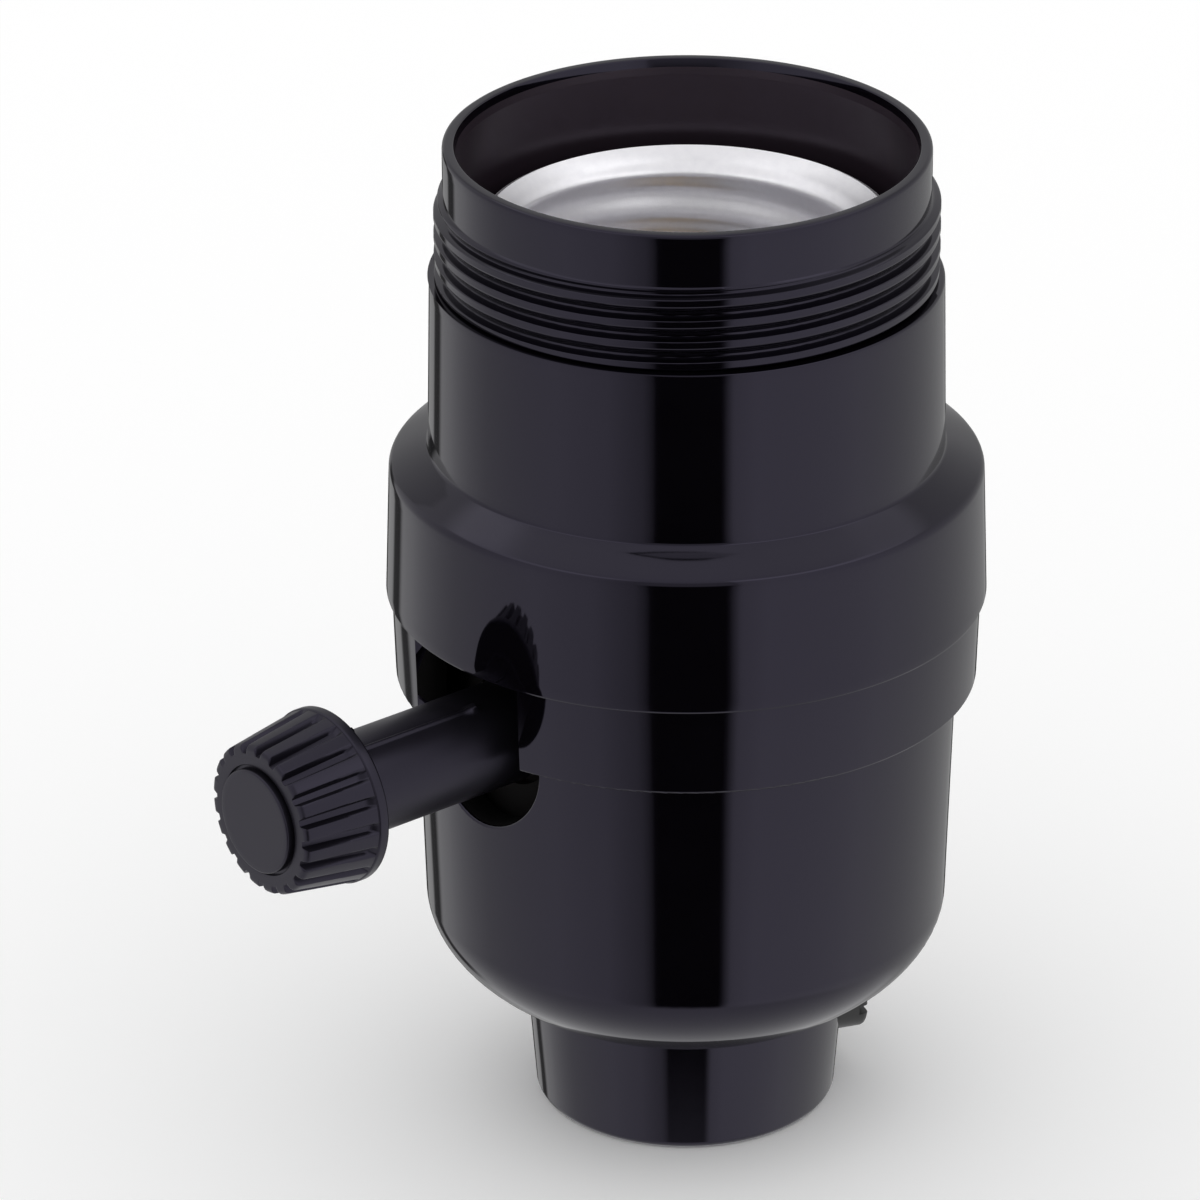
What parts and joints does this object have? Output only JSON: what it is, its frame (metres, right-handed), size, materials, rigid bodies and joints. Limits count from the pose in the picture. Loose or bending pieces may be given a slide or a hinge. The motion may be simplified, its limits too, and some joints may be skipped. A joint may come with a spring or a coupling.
{
  "type": "rotary knob lamp socket",
  "caption": "Black moulded lamp socket with a ribbed turn knob on a side stem, a threaded mouth, a metal screw shell for the bulb and a threaded neck for a lamp pipe.",
  "frame": {"origin": "centre of the neck's end face, where the lamp's pipe comes in", "axes": "+Z along the socket's axis towards the bulb, -Y along the knob's stem towards the knob, +X to the right of someone who faces the knob"},
  "size_m": [0.0444, 0.0626, 0.0768],
  "materials": {
    "phenolic": "glossy black moulded phenolic",
    "inner_phenolic": "dull dark moulded phenolic",
    "knob_plastic": "satin black moulded plastic",
    "rotor_plastic": "natural moulded insulator",
    "aluminium": "bright drawn sheet",
    "brass": "plain",
    "bronze": "rolled spring strip",
    "nickel": "nickel plated",
    "zinc_steel": "zinc plated",
    "spring_steel": "plain spring steel",
    "black_steel": "blackened steel"
  },
  "bodies": {
    "socket": {"outer_shell": "phenolic", "cap": "phenolic", "cap_bushing": "brass", "cap_set_screw": "black_steel", "interior_body": "inner_phenolic", "switch_base": "inner_phenolic", "base_screws": "zinc_steel", "assembly_screws": "zinc_steel", "screw_shell": "aluminium", "shell_rivets": "aluminium", "centre_contact_rivet": "brass", "load_contact_spring": "bronze", "line_contact_spring": "bronze", "line_contact_rivet": "brass", "detent_spring": "spring_steel", "hot_terminal_plate": "brass", "neutral_terminal_plate": "nickel", "hot_terminal_screw": "brass", "neutral_terminal_screw": "nickel", "shaft_bush": "brass"},
    "turn_knob": {"knob": "knob_plastic", "knob_insert": "brass", "switch_shaft": "spring_steel", "shaft_clip": "spring_steel", "switch_rotor": "rotor_plastic", "rotor_contact": "bronze"},
    "contact_tongue": {"centre_contact": "brass"}
  },
  "joints": [
    {"name": "knob_turn", "type": "hinge", "parent": "socket", "child": "turn_knob", "pos_m": [0, -0.02, 0.0351], "axis": [0, -1, 0], "continuous": true, "deforming": ["detent_spring", "load_contact_spring", "line_contact_spring"]},
    {"name": "tongue_press", "type": "hinge", "parent": "socket", "child": "contact_tongue", "pos_m": [0, 0.004, 0.0475], "axis": [1, 0, 0], "range_deg": [0, 8], "stiffness_Nm_per_rad": 0.3}
  ]
}
